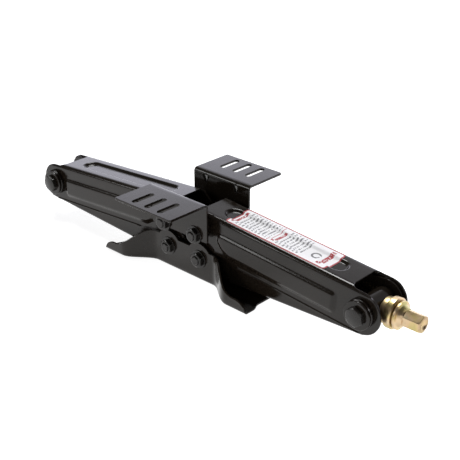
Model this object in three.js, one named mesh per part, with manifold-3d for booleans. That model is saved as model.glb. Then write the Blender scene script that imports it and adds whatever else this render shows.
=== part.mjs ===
// Scissor stabilizer jack, folded. Millimetres, +Z up, +X towards the hex drive.
// The origin is the centre of the foot's bottom face.
import * as THREE from 'three';
import { mergeVertices } from 'three/addons/utils/BufferGeometryUtils.js';
import { ConvexGeometry } from 'three/addons/geometries/ConvexGeometry.js';
import Module from 'manifold-3d';

const wasm = await Module();
wasm.setup();

// ---- Driving dimensions -------------------------------------------------------------------

const screwHeight = 54;         // screw axis above the ground
const pivotOffset = 20;         // gear pivots above and below the screw axis
const gearRadius = 30.15;       // pitch radius, and half the distance between gear pivots
const endPinX = 295.4;          // end pins, left and right of the centre
const gap = 0.3;                // clearance between neighbouring pieces
const sheet = 3;                // thickness of the arm and foot steel
const rooted = 1;               // how far a pressed shape is carried back into its plate

const gear = { teeth: 20, pressureDeg: 20, addendum: 2.4, dedendum: 3.3, backlashDeg: 0.9 };

const upperArm = {
  halfWidth: 29.2, endRadius: 28.6, webIn: 29.9, webOut: 29.9, innerEnd: -8,
  relief: [9.85, 41.85, 68.85],   // the bottom edge is raised from the teeth to here, then slopes down
  spareTeeth: 1, gearStart: 122,
};
const lowerArm = {
  halfWidth: 25.4, endRadius: 25.5, webIn: 27, webOut: 34, innerEnd: -6, relief: [],
  spareTeeth: 0, gearStart: 122,
};
const upperWebEnd = { left: 18.5, right: 19.5 };    // top plate stops this far before the end pin
const lowerWebTip = { left: 18, right: -4.5 };    // bottom plate runs this far past the end pin
const lowerNotch = { halfWidth: 19.5, depth: 14 };
const sidePanel = {
  start: 28, end: { left: 243, right: 230.5 }, top: 12, bottom: -21, cornerU: 24, cornerV: 17,
  rise: 2.5, slope: 4.5,
};
const wallLip = { height: 2.4, flare: 1.9, start: 68.85 };
const topRecess = { start: 17.5, end: 222, halfWidth: 14.5, depth: 4, slope: 3 };
const label = { start: 36, end: 202, halfWidth: 24.4, thickness: 0.4 };

const foot = {
  halfLength: 139, waistHalfWidth: 35.5, wingHalfWidth: 62, waistEnd: 54, wingStart: 104,
  wallTop: 47.8, wingTop: 16.5, earRadius: 23.2, dropStart: 60, dropEnd: 117, tipLength: 19, endInset: 5,
};
const bracket = {
  halfLength: 53.4, wallY: 43.2, flangeY: 109.7, bottom: 67.7, top: 124.95, plate: 3.5,
  slotPitch: 24.3, slotFrom: 66, slotTo: 103, slotWidth: 8.6,
};
const gusset = { x: 29, halfWidth: 7, reach: 11, depth: 5 };

const bolt = { radius: 6, hole: 6.4, acrossFlats: 19, headHeight: 6, nutHeight: 5.4, tail: 1.6 };
const washer = { radius: 13, thickness: 1.2 };
const spacer = { footRadius: 9, bracketRadius: 10.5 };
const trunnion = { radius: 16, halfLength: 21.8, journal: 9.2, armHole: 9.6 };
const endWasher = { radius: 19.7, thickness: 4.2 };
const endCollar = { radius: 19.2, thickness: 4.2 };
const pinHead = { acrossFlats: 24, height: 6.4 };
const screw = { radius: 9, leftEnd: -312, rightEnd: 338 };
const drive = {
  washerRadius: 17.3, cupRadius: 19.6, grooveRadius: 16, collarRadius: 18.3, coneRadius: 17,
  acrossFlats: 20.6, tipChamfer: 2.5,
};
const driveX = { washer: 311.9, cup: 319.6, groove: 329.8, collar: 331.8, cone: 334.5, hex: 341, tip: 365 };

const foldAngle = Math.atan2(pivotOffset, endPinX - gearRadius);
const armLength = Math.hypot(pivotOffset, endPinX - gearRadius);

// ---- Materials ----------------------------------------------------------------------------

function steel(color, roughness, metalness) {
  return new THREE.MeshStandardMaterial({ color, roughness, metalness });
}
const blackPaint = steel(0x1b1a19, 0.35, 0.1);
const blackFastener = steel(0x141414, 0.4, 0.6);
const yellowZinc = steel(0xc9b06a, 0.3, 0.9);
const stickerWhite = steel(0xf2f0ee, 0.45, 0);

// ---- Solids from three.js shapes -----------------------------------------------------------

function solid(geometry) {
  const bare = geometry.clone();
  bare.deleteAttribute('normal');
  bare.deleteAttribute('uv');
  const merged = mergeVertices(bare, 1e-4);
  return new wasm.Manifold(new wasm.Mesh({
    numProp: 3,
    vertProperties: new Float32Array(merged.attributes.position.array),
    triVerts: new Uint32Array(merged.index.array),
  }));
}

function meshFrom(name, body, material) {
  const data = body.getMesh();
  const geometry = new THREE.BufferGeometry();
  geometry.setAttribute('position', new THREE.BufferAttribute(new Float32Array(data.vertProperties), 3));
  geometry.setIndex(new THREE.BufferAttribute(new Uint32Array(data.triVerts), 1));
  geometry.computeVertexNormals();
  const mesh = new THREE.Mesh(geometry, material);
  mesh.name = name;
  return mesh;
}

// A flat outline of x, z points, thickened from y0 to y1.
function plateXZ(points, y0, y1) {
  const shape = new THREE.Shape(points);
  const geometry = new THREE.ExtrudeGeometry(shape, { depth: y1 - y0, bevelEnabled: false });
  geometry.rotateX(Math.PI / 2);
  geometry.translate(0, y1, 0);
  return solid(geometry);
}

// A flat outline of x, y points, thickened from z0 to z1.
function plateXY(points, z0, z1) {
  const shape = new THREE.Shape(points);
  const geometry = new THREE.ExtrudeGeometry(shape, { depth: z1 - z0, bevelEnabled: false });
  geometry.translate(0, 0, z0);
  return solid(geometry);
}

function box(x0, x1, y0, y1, z0, z1) {
  const geometry = new THREE.BoxGeometry(x1 - x0, y1 - y0, z1 - z0);
  geometry.translate((x0 + x1) / 2, (y0 + y1) / 2, (z0 + z1) / 2);
  return solid(geometry);
}

function cylinderY(x, z, radius, y0, y1, sides = 32) {
  const geometry = new THREE.CylinderGeometry(radius, radius, y1 - y0, sides);
  geometry.translate(x, (y0 + y1) / 2, z);
  return solid(geometry);
}

// The far end at x1 may have a radius of its own.
function cylinderX(radius, x0, x1, sides = 32, endRadius = radius) {
  const geometry = new THREE.CylinderGeometry(endRadius, radius, x1 - x0, sides);
  geometry.rotateZ(-Math.PI / 2);
  geometry.translate((x0 + x1) / 2, 0, screwHeight);
  return solid(geometry);
}

function hull(points) {
  return solid(new ConvexGeometry(points));
}

const radians = (degrees) => degrees * Math.PI / 180;
const polar = (radius, degrees) => new THREE.Vector2(
  radius * Math.cos(radians(degrees)), radius * Math.sin(radians(degrees)));

// ---- Gear teeth ----------------------------------------------------------------------------

const involute = (angle) => Math.tan(angle) - angle;

// Half the angle that a tooth fills at a radius, in degrees.
function toothHalfAngle(radius) {
  const base = gearRadius * Math.cos(radians(gear.pressureDeg));
  const pitchHalf = 90 / gear.teeth - gear.backlashDeg / 2;
  const atRadius = radius > base ? involute(Math.acos(base / radius)) : 0;
  return pitchHalf + (involute(radians(gear.pressureDeg)) - atRadius) * 180 / Math.PI;
}

// Teeth about the pivot, one every pitch from a first centre angle, in rising order.
function toothedArc(firstDeg, count) {
  const root = gearRadius - gear.dedendum;
  const tip = gearRadius + gear.addendum;
  const flank = [root, root + 1.6, gearRadius, (gearRadius + tip) / 2, tip];
  const pitch = 360 / gear.teeth;
  const points = [];
  for (let i = 0; i < count; i += 1) {
    const centre = firstDeg + i * pitch;
    for (const radius of flank) points.push(polar(radius, centre - toothHalfAngle(radius)));
    for (const radius of [...flank].reverse()) points.push(polar(radius, centre + toothHalfAngle(radius)));
  }
  return points;
}

// ---- Arms ----------------------------------------------------------------------------------

// An arm is drawn about its gear pivot with its web upwards and its end pin to the right.
// a runs along the line between the two pins and b is square to it.
const along = (a, b) => new THREE.Vector2(
  a * Math.cos(foldAngle) + b * Math.sin(foldAngle),
  -a * Math.sin(foldAngle) + b * Math.cos(foldAngle));

const webAt = (arm, a) => arm.webIn + (arm.webOut - arm.webIn) * a / armLength;

// The arm's side seen square on: bottom edge, round end, web edge, then the toothed inner end.
function armOutline(arm, webEnd, toothPhase) {
  const points = [];
  if (arm.relief.length) {
    const [from, to, end] = arm.relief;
    const reliefDepth = pivotOffset + 7;
    points.push(new THREE.Vector2(from, -reliefDepth), new THREE.Vector2(to, -reliefDepth));
    points.push(along(end, -arm.endRadius));
  } else {
    points.push(along(8, -arm.endRadius));
  }
  const end = along(armLength, 0);
  const corner = along(webEnd, webAt(arm, webEnd));
  const toCorner = corner.clone().sub(end);
  const startDeg = -90 - foldAngle * 180 / Math.PI;
  const tangent = Math.atan2(toCorner.y, toCorner.x) - Math.acos(arm.endRadius / toCorner.length());
  const stopDeg = tangent * 180 / Math.PI;
  const steps = 20;
  for (let i = 0; i <= steps; i += 1) {
    points.push(polar(arm.endRadius, startDeg + (stopDeg - startDeg) * i / steps).add(end));
  }
  points.push(corner, along(arm.innerEnd, webAt(arm, arm.innerEnd)));
  const pitch = 360 / gear.teeth;
  const spare = toothPhase ? 1 : arm.spareTeeth;
  const firstTooth = 180 - pitch * spare + toothPhase;
  for (let angle = arm.gearStart; angle < firstTooth - pitch * 0.6; angle += pitch / 2) {
    points.push(polar(gearRadius - gear.dedendum, angle));
  }
  points.push(...toothedArc(firstTooth, toothPhase ? 5 : 5 + spare));
  return points;
}

// Corners of a convex outline moved inwards by a distance.
function inset(points, distance) {
  const count = points.length;
  const normal = (p, q) => new THREE.Vector2(q.y - p.y, p.x - q.x).normalize();
  return points.map((point, i) => {
    const before = normal(points[(i + count - 1) % count], point);
    const after = normal(point, points[(i + 1) % count]);
    const bisector = before.clone().add(after);
    return point.clone().addScaledVector(bisector, -2 * distance / bisector.lengthSq());
  });
}

function panelOutline(end) {
  const { start, top, bottom, cornerU, cornerV } = sidePanel;
  return [
    new THREE.Vector2(start, bottom + cornerV),
    new THREE.Vector2(start + cornerU * 0.38, bottom + cornerV * 0.42),
    new THREE.Vector2(start + cornerU, bottom),
    new THREE.Vector2(end, bottom),
    new THREE.Vector2(end, top),
    new THREE.Vector2(start, top),
  ];
}

function stadium(start, end, halfWidth, steps = 10) {
  const points = [];
  for (const [centre, firstDeg] of [[end - halfWidth, -90], [start + halfWidth, 90]]) {
    for (let i = 0; i <= steps; i += 1) {
      points.push(polar(halfWidth, firstDeg + 180 * i / steps).add(new THREE.Vector2(centre, 0)));
    }
  }
  return points;
}

// side is +1 on the hex drive's side, and level is +1 for an arm above the screw.
function makeArm(arm, side, level, webEnd) {
  const pivotZ = screwHeight + level * pivotOffset;
  const place = (point) => new THREE.Vector2(side * (gearRadius + point.x), pivotZ + level * point.y);
  const place3 = (point, y) => {
    const flat = place(point);
    return new THREE.Vector3(flat.x, y, flat.y);
  };
  const width = arm.halfWidth;
  const halfPitch = 180 / gear.teeth;
  const outline = armOutline(arm, webEnd, side > 0 ? 0 : halfPitch).map(place);
  const webTop = [arm.innerEnd, webEnd].map((a) => along(a, webAt(arm, a)));
  const webUnder = [webEnd, arm.innerEnd].map((a) => along(a, webAt(arm, a) - sheet));
  let body = plateXZ(outline, width - sheet, width)
    .add(plateXZ(outline, -width, sheet - width))
    .add(plateXZ([...webTop, ...webUnder].map(place), -width, width));
  const pivot = place(new THREE.Vector2(0, 0));
  const end = place(along(armLength, 0));
  body = body.subtract(cylinderY(pivot.x, pivot.y, bolt.hole, -width - 1, width + 1));
  body = body.subtract(cylinderY(end.x, end.y, trunnion.armHole, -width - 1, width + 1));
  return { body, place, place3 };
}

function makeUpperArm(side, webEnd) {
  const made = makeArm(upperArm, side, 1, webEnd);
  const { place3 } = made;
  let { body } = made;
  const outer = panelOutline(side > 0 ? sidePanel.end.right : sidePanel.end.left);
  const inner = inset(outer, sidePanel.slope);
  const panelAt = (sign, y) => hull([
    ...outer.map((p) => place3(along(p.x, p.y), sign * (y - rooted))),
    ...outer.map((p) => place3(along(p.x, p.y), sign * y)),
    ...inner.map((p) => place3(along(p.x, p.y), sign * (y + sidePanel.rise))),
  ]);
  const face = upperArm.halfWidth;
  for (const sign of [1, -1]) {
    body = body.add(panelAt(sign, face)).subtract(panelAt(sign, face - sheet));
    const lipCorner = (a, height, out) => place3(along(a, height - upperArm.endRadius), sign * (face + out));
    body = body.add(hull([wallLip.start, armLength].flatMap((a) => [
      lipCorner(a, wallLip.height, -rooted),
      lipCorner(a, 0, -rooted),
      lipCorner(a, 0, wallLip.flare),
    ])));
  }
  const { start, end, halfWidth, depth, slope } = topRecess;
  const rim = stadium(start, end, halfWidth);
  const floor = stadium(start + slope, end - slope, halfWidth - slope);
  const recessAt = (drop) => hull([
    ...rim.map((p) => place3(along(p.x, upperArm.webIn - drop + rooted), p.y)),
    ...rim.map((p) => place3(along(p.x, upperArm.webIn - drop), p.y)),
    ...floor.map((p) => place3(along(p.x, upperArm.webIn - drop - depth), p.y)),
  ]);
  return body.add(recessAt(sheet)).subtract(recessAt(0));
}

function makeLowerArm(side, webEnd) {
  const { body, place } = makeArm(lowerArm, side, -1, webEnd);
  const from = armLength - lowerNotch.depth;
  const to = armLength + 2 * lowerNotch.depth + lowerWebTip.left;
  const inside = lowerArm.webIn - 2 * sheet;
  const outside = lowerArm.webOut + 2 * sheet;
  const notch = [[from, inside], [to, inside], [to, outside], [from, outside]]
    .map(([a, b]) => place(along(a, b)));
  return body.subtract(plateXZ(notch, -lowerNotch.halfWidth, lowerNotch.halfWidth));
}

function makeLabel() {
  const under = upperArm.webIn + gap;
  const over = under + label.thickness;
  const corners = [[label.start, under], [label.end, under], [label.end, over], [label.start, over]];
  const points = corners.map(([a, b]) => along(a, b))
    .map((p) => new THREE.Vector2(gearRadius + p.x, screwHeight + pivotOffset + p.y));
  return plateXZ(points, -label.halfWidth, label.halfWidth);
}

// ---- Foot ----------------------------------------------------------------------------------

const blendTo = (x, x0, x1) => {
  const t = Math.min(1, Math.max(0, (x - x0) / (x1 - x0)));
  return t * t * (3 - 2 * t);
};
const footHalfWidth = (x) => foot.waistHalfWidth
  + (foot.wingHalfWidth - foot.waistHalfWidth) * blendTo(Math.abs(x), foot.waistEnd, foot.wingStart);

// The foot's plan: a narrow waist that spreads into a wing at each corner.
function footPlan(offset) {
  const stations = [];
  const steps = 10;
  const { halfLength, waistEnd, wingStart, endInset } = foot;
  for (let i = 0; i <= steps; i += 1) stations.push(waistEnd + (wingStart - waistEnd) * i / steps);
  const quarter = stations.map((x) => new THREE.Vector2(x, footHalfWidth(x) - offset));
  quarter.push(new THREE.Vector2(halfLength - 7, foot.wingHalfWidth - offset));
  quarter.push(new THREE.Vector2(halfLength, foot.wingHalfWidth - 8 - offset));
  quarter.push(new THREE.Vector2(halfLength, foot.wingHalfWidth - 16 - offset));
  quarter.push(new THREE.Vector2(halfLength - endInset, foot.wingHalfWidth - 26 - offset));
  const mirror = (points, sx, sy) => points.map((p) => new THREE.Vector2(sx * p.x, sy * p.y));
  return [
    ...mirror(quarter, 1, 1), ...mirror(quarter, 1, -1).reverse(),
    ...mirror(quarter, -1, -1), ...mirror(quarter, -1, 1).reverse(),
  ];
}

// Height of the foot's walls: an ear round each pivot, a fall along the wing and a rounded tip.
function footWallHeight(x) {
  const { halfLength, wallTop, wingTop, earRadius, dropStart, dropEnd, tipLength } = foot;
  const fall = (wallTop - wingTop) * blendTo(x, dropStart, dropEnd);
  const inTip = Math.max(0, (x - halfLength + tipLength) / tipLength);
  const body = (wallTop - fall) * Math.sqrt(Math.max(0, 1 - inTip * inTip));
  const away = Math.abs(x - gearRadius);
  if (away >= earRadius) return body;
  return Math.max(body, screwHeight - pivotOffset + Math.sqrt(earRadius * earRadius - away * away));
}

// The walls' outline seen from the side.
function footSideOutline() {
  const { halfLength } = foot;
  const steps = 74;
  const half = [];
  for (let i = 0; i <= steps; i += 1) {
    const x = (halfLength - 0.3) * Math.sin(i / steps * Math.PI / 2);
    half.push([x, Math.max(sheet, footWallHeight(x))]);
  }
  half.push([halfLength + 1, sheet], [halfLength + 1, -1]);
  const right = half.map(([x, z]) => new THREE.Vector2(x, z));
  const left = half.slice(1).map(([x, z]) => new THREE.Vector2(-x, z)).reverse();
  return [...left, ...right];
}

function makeFoot() {
  const reach = foot.wingHalfWidth + 5;
  const tall = screwHeight - pivotOffset + foot.earRadius + 1;
  const walls = plateXY(footPlan(0), 0, tall)
    .subtract(plateXY(footPlan(sheet), sheet, tall + 1))
    .subtract(box(foot.halfLength - 7.5, foot.halfLength + 5, -reach + 21, reach - 21, sheet, 60))
    .subtract(box(-foot.halfLength - 5, 7.5 - foot.halfLength, -reach + 21, reach - 21, sheet, 60))
    .intersect(plateXZ(footSideOutline(), -reach, reach));
  let body = walls;
  for (const side of [1, -1]) {
    body = body.subtract(cylinderY(side * gearRadius, screwHeight - pivotOffset, bolt.hole, -reach, reach));
  }
  return body;
}

// ---- Top brackets --------------------------------------------------------------------------

// side is -1 for the near bracket and +1 for the far one.
function makeBracket(side) {
  const { halfLength, wallY, flangeY, bottom, top, plate } = bracket;
  const span = (y0, y1) => (side > 0 ? [y0, y1] : [-y1, -y0]);
  let body = box(-halfLength, halfLength, ...span(wallY - plate, wallY), bottom, top)
    .add(box(-halfLength, halfLength, ...span(wallY - plate, flangeY), top - plate, top));
  for (const x of [-bracket.slotPitch, 0, bracket.slotPitch]) {
    const slot = stadium(bracket.slotFrom, bracket.slotTo, bracket.slotWidth / 2)
      .map((p) => new THREE.Vector2(x + p.y, side * p.x));
    body = body.subtract(plateXY(slot, top - plate - 1, top + 1));
  }
  for (const x of [-gusset.x, gusset.x]) {
    const dent = (shift) => hull([
      new THREE.Vector3(x - gusset.halfWidth, side * (wallY - plate + shift), top - shift),
      new THREE.Vector3(x + gusset.halfWidth, side * (wallY - plate + shift), top - shift),
      new THREE.Vector3(x, side * (wallY - plate + shift + gusset.depth), top - shift - gusset.depth),
      new THREE.Vector3(x, side * (wallY - plate + shift), top - shift - gusset.reach),
      new THREE.Vector3(x, side * (wallY - plate + shift + gusset.reach), top - shift),
    ]);
    body = body.add(dent(plate)).subtract(dent(0));
  }
  for (const x of [-gearRadius, gearRadius]) {
    body = body.subtract(cylinderY(x, screwHeight + pivotOffset, bolt.hole, -wallY - 1, wallY + 1));
  }
  return body;
}

// ---- Fasteners and trunnions ---------------------------------------------------------------

function ringY(x, z, outer, inner, y0, y1) {
  return cylinderY(x, z, outer, y0, y1).subtract(cylinderY(x, z, inner, y0 - 1, y1 + 1));
}

const hexCircumradius = (acrossFlats) => acrossFlats / Math.sqrt(3);

function makeNut(x, z, y0, y1) {
  return cylinderY(x, z, hexCircumradius(bolt.acrossFlats), y0, y1, 6)
    .subtract(cylinderY(x, z, bolt.radius + gap, y0 - 1, y1 + 1));
}

function makeBolt(x, z, headY, tailY) {
  return cylinderY(x, z, bolt.radius, tailY, headY + 1)
    .add(cylinderY(x, z, hexCircumradius(bolt.acrossFlats), headY, headY + bolt.headHeight, 6));
}

function makeTrunnion(side) {
  const x = side * endPinX;
  const headStart = upperArm.halfWidth + endWasher.thickness + endCollar.thickness + 3 * gap;
  const corner = hexCircumradius(pinHead.acrossFlats);
  return cylinderY(x, screwHeight, trunnion.radius, -trunnion.halfLength, trunnion.halfLength)
    .add(cylinderY(x, screwHeight, trunnion.journal, -headStart - 1, headStart + 1))
    .add(cylinderY(x, screwHeight, corner, headStart, headStart + pinHead.height, 6))
    .add(cylinderY(x, screwHeight, corner, -headStart - pinHead.height, -headStart, 6))
    .subtract(cylinderX(screw.radius + gap, x - 2 * trunnion.radius, x + 2 * trunnion.radius));
}

function makeHexDrive() {
  const bore = cylinderX(screw.radius + gap, driveX.groove - 1, screw.rightEnd + gap);
  const corner = hexCircumradius(drive.acrossFlats);
  const chamferStart = driveX.tip - drive.tipChamfer;
  return cylinderX(drive.grooveRadius, driveX.groove, driveX.collar + 1)
    .add(cylinderX(drive.collarRadius, driveX.collar, driveX.cone))
    .add(cylinderX(drive.coneRadius, driveX.cone, driveX.hex, 32, corner))
    .add(cylinderX(corner, driveX.hex - 1, chamferStart, 6))
    .add(cylinderX(corner, chamferStart, driveX.tip, 6, corner - drive.tipChamfer))
    .subtract(bore);
}

function ringX(outer, x0, x1) {
  return cylinderX(outer, x0, x1).subtract(cylinderX(screw.radius + gap, x0 - 1, x1 + 1));
}

// ---- Assembly ------------------------------------------------------------------------------

const jack = new THREE.Group();
jack.name = 'scissor_jack';
const add = (name, body, material) => jack.add(meshFrom(name, body, material));

add('base_foot', makeFoot(), blackPaint);
add('lower_arm_left', makeLowerArm(-1, armLength + lowerWebTip.left), blackPaint);
add('lower_arm_right', makeLowerArm(1, armLength + lowerWebTip.right), blackPaint);
add('upper_arm_left', makeUpperArm(-1, armLength - upperWebEnd.left), blackPaint);
add('upper_arm_right', makeUpperArm(1, armLength - upperWebEnd.right), blackPaint);
add('top_bracket_near', makeBracket(-1), blackPaint);
add('top_bracket_far', makeBracket(1), blackPaint);
add('label_sticker', makeLabel(), stickerWhite);

const levels = [
  {
    name: 'bottom', z: screwHeight - pivotOffset, arm: lowerArm.halfWidth, spacerRadius: spacer.footRadius,
    outer: foot.waistHalfWidth, inner: foot.waistHalfWidth - sheet,
  },
  {
    name: 'top', z: screwHeight + pivotOffset, arm: upperArm.halfWidth, spacerRadius: spacer.bracketRadius,
    outer: bracket.wallY, inner: bracket.wallY - bracket.plate,
  },
];
for (const level of levels) {
  for (const [sideName, side] of [['left', -1], ['right', 1]]) {
    const x = side * gearRadius;
    const tag = `${level.name}_${sideName}`;
    const washerIn = level.outer + gap;
    const washerOut = washerIn + washer.thickness;
    const nutOut = washerOut + gap + bolt.nutHeight;
    add(`pivot_bolt_${tag}`, makeBolt(x, level.z, washerOut + gap, -nutOut - bolt.tail), blackFastener);
    add(`pivot_nut_${tag}`, makeNut(x, level.z, -nutOut, -washerOut - gap), blackFastener);
    for (const [endName, end] of [['near', -1], ['far', 1]]) {
      const pair = (a, b) => (end > 0 ? [a, b] : [-b, -a]);
      add(`pivot_washer_${tag}_${endName}`,
        ringY(x, level.z, washer.radius, bolt.hole, ...pair(washerIn, washerOut)), blackFastener);
      add(`pivot_spacer_${tag}_${endName}`,
        ringY(x, level.z, level.spacerRadius, bolt.hole, ...pair(level.arm + gap, level.inner - gap)),
        blackFastener);
    }
  }
}

for (const [sideName, side] of [['left', -1], ['right', 1]]) {
  add(`trunnion_${sideName}`, makeTrunnion(side), blackFastener);
  for (const [endName, end] of [['near', -1], ['far', 1]]) {
    const pair = (a, b) => (end > 0 ? [a, b] : [-b, -a]);
    const washerIn = upperArm.halfWidth + gap;
    const collarIn = washerIn + endWasher.thickness + gap;
    const bore = trunnion.journal + gap;
    add(`end_washer_${sideName}_${endName}`,
      ringY(side * endPinX, screwHeight, endWasher.radius, bore, ...pair(washerIn, collarIn - gap)),
      blackPaint);
    add(`end_collar_${sideName}_${endName}`,
      ringY(side * endPinX, screwHeight, endCollar.radius, bore,
        ...pair(collarIn, collarIn + endCollar.thickness)),
      blackPaint);
  }
}

add('lead_screw', cylinderX(screw.radius, screw.leftEnd, screw.rightEnd), yellowZinc);
add('thrust_washer', ringX(drive.washerRadius, driveX.washer, driveX.cup - gap), yellowZinc);
add('bearing_cup', ringX(drive.cupRadius, driveX.cup, driveX.groove - gap), yellowZinc);
add('hex_drive', makeHexDrive(), yellowZinc);

export default jack;
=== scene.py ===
"""A scissor stabilizer jack, folded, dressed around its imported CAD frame. Lengths are millimetres."""
import math
from functools import reduce

import bmesh
import bpy
import numpy as np
from mathutils import Matrix, Vector
from mathutils.geometry import delaunay_2d_cdt


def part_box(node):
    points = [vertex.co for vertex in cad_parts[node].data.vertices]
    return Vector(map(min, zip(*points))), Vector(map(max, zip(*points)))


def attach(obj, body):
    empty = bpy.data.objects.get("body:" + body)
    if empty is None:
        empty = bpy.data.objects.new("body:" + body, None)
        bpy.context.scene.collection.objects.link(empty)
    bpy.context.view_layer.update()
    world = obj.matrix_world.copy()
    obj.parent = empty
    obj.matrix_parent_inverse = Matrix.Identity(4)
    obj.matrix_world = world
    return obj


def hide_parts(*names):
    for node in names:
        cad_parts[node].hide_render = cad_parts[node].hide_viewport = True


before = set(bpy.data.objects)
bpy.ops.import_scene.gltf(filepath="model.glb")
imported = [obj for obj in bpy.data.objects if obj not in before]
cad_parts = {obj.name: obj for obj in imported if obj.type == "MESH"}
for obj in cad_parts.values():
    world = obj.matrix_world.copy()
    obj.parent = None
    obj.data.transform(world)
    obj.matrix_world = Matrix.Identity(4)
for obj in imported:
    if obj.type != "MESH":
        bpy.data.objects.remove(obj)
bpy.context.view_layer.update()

MM = 0.001


# ---- Sizes taken from the frame ------------------------------------------------------------

def cad(node):
    """Lowest and highest corner of a CAD node, in millimetres."""
    low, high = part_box(node)
    return np.array(low) / MM, np.array(high) / MM


def centre(node):
    low, high = cad(node)
    return (low + high) / 2


SCREW_Z = centre("lead_screw")[2]
END_X = centre("trunnion_right")[0]
GEAR_R = centre("pivot_nut_bottom_right")[0]
PIVOT_UP = SCREW_Z - centre("pivot_nut_bottom_right")[2]
FOLD = math.atan2(PIVOT_UP, END_X - GEAR_R)
ARM_LENGTH = math.hypot(PIVOT_UP, END_X - GEAR_R)
SHEET = 3.0
SIDES = {"left": -1, "right": 1}
ENDS = {"near": -1, "far": 1}

UPPER = dict(half=29.2, end_radius=28.55, web_in=29.9, web_out=29.9, inner=-8.0, bend=6.2, level=1, spare=1)
LOWER = dict(half=25.4, end_radius=25.5, web_in=27.0, web_out=34.0, inner=-6.0, bend=5.0, level=-1, spare=0)
WEB_END = {("upper", -1): -18.5, ("upper", 1): -19.5, ("lower", -1): 18.0, ("lower", 1): -4.5}
UPPER_WEB_CORNER = 9.0
UPPER_WALL_STEP = dict(start=9.85, end=41.85, below=7.0)
LOWER_WALL_START = 8.0
NOTCH = dict(half=19.3, depth=14.0, corner=6.0)
PANEL = dict(start=28.0, end={-1: 243.0, 1: 230.5}, top=12.0, bottom=-21.0, corner=24.0, drop=17.0,
             grown=8.0, slope=7.2, height=3.0)
RECESS = dict(start=17.5, end=222.0, half=14.5, slope=4.6, depth=3.4)
LIP = dict(start=68.85, height=2.6, flare=1.15)
PIVOT_HOLE_R = 6.6
TRUNNION_HOLE_R = 9.8
LABEL = dict(start=36.0, end=202.0, half=24.2, lift=0.1, film=0.15, corner=5.0)
GEAR = dict(teeth=20, pressure=math.radians(20), addendum=2.4, dedendum=3.3, backlash=math.radians(0.9),
            start=122.0)


# ---- Flat outlines -------------------------------------------------------------------------

def polar(radius, degrees):
    angle = np.radians(degrees)
    return np.array([radius * np.cos(angle), radius * np.sin(angle)]).T


def offset_loop(points, distance):
    """A closed loop moved to the left of its direction, so inwards when it runs anticlockwise."""
    points = np.asarray(points, float)
    ahead = np.roll(points, -1, 0) - points
    ahead /= np.linalg.norm(ahead, axis=1)[:, None]
    after = np.stack([-ahead[:, 1], ahead[:, 0]], 1)
    bisector = after + np.roll(after, 1, 0)
    return points + 2 * distance * bisector / np.maximum((bisector ** 2).sum(1), 0.6)[:, None]


def rounded(points, radii, steps=6):
    """A loop or profile with its corners replaced by arcs. A radius of 0 keeps the corner."""
    points = np.asarray(points, float)
    if np.isscalar(radii):
        radii = [radii] * len(points)
    out = []
    for i, (corner, radius) in enumerate(zip(points, radii)):
        before, after = points[i - 1] - corner, points[(i + 1) % len(points)] - corner
        lengths = np.linalg.norm(before), np.linalg.norm(after)
        before, after = before / lengths[0], after / lengths[1]
        half = math.acos(np.clip(before @ after, -1, 1)) / 2
        if radius <= 0 or half > math.radians(88):
            out.append(corner)
            continue
        reach = min(radius / math.tan(half), 0.49 * min(lengths))
        radius = reach * math.tan(half)
        middle = corner + (before + after) / np.linalg.norm(before + after) * radius / math.sin(half)
        first, last = corner + before * reach - middle, corner + after * reach - middle
        start = math.atan2(first[1], first[0])
        turn = (math.atan2(last[1], last[0]) - start + math.pi) % (2 * math.pi) - math.pi
        for k in range(steps + 1):
            angle = start + turn * k / steps
            out.append(middle + radius * np.array([math.cos(angle), math.sin(angle)]))
    return np.array(out)


def subdivided(points, longest):
    """A closed loop whose long stretches are cut into equal short ones."""
    out = []
    for a, b in zip(points, np.roll(points, -1, 0)):
        count = max(1, math.ceil(np.linalg.norm(b - a) / longest))
        out += [a + (b - a) * k / count for k in range(count)]
    return np.array(out)


def anticlockwise(points):
    x, y = points[:, 0], points[:, 1]
    area = (x * np.roll(y, -1) - y * np.roll(x, -1)).sum()
    return points if area > 0 else points[::-1]


def inside(points, loop):
    """Which points lie inside a closed loop."""
    x, y = points[:, 0][:, None], points[:, 1][:, None]
    ax, ay = loop[:, 0], loop[:, 1]
    bx, by = np.roll(ax, -1), np.roll(ay, -1)
    with np.errstate(divide="ignore", invalid="ignore"):
        crosses = ((ay > y) != (by > y)) & (x < (bx - ax) * (y - ay) / (by - ay) + ax)
    return crosses.sum(1) % 2 == 1


def distance_to(points, loop, closed=True):
    """Distance from each point to the nearest place on a loop."""
    a = np.asarray(loop, float)
    b = np.roll(a, -1, 0) if closed else a[1:]
    a = a if closed else a[:-1]
    best = np.full(len(points), 1e9)
    for p, q in zip(a, b):
        run = q - p
        t = np.clip(((points - p) @ run) / max(run @ run, 1e-12), 0, 1)
        best = np.minimum(best, np.linalg.norm(points - p - t[:, None] * run, axis=1))
    return best


class Pressing:
    """A shape pressed into flat sheet: a core polygon grown by a radius, with a sloping edge."""

    def __init__(self, core, radius, slope, height):
        self.core, self.radius, self.slope, self.height = np.asarray(core, float), radius, slope, height

    def loop(self, share):
        """The closed line where the slope has risen by a share of its width."""
        radius = self.radius - share * self.slope
        core = self.core
        out = []
        for i, corner in enumerate(core):
            before, after = corner - core[i - 1], core[(i + 1) % len(core)] - corner
            start = math.atan2(-before[0], before[1])
            turn = (math.atan2(-after[0], after[1]) - start) % (2 * math.pi)
            steps = max(2, math.ceil(turn * max(radius, 1) / 1.3))
            for k in range(steps + 1):
                angle = start + turn * k / steps
                out.append(corner + radius * np.array([math.cos(angle), math.sin(angle)]))
        return subdivided(np.array(out), 4.0)

    def rise(self, points):
        away = distance_to(points, self.core)
        if len(self.core) > 2:
            away[inside(points, self.core)] = 0
        t = np.clip((self.radius - away) / self.slope, 0, 1)
        return self.height * t * t * (3 - 2 * t)


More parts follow.
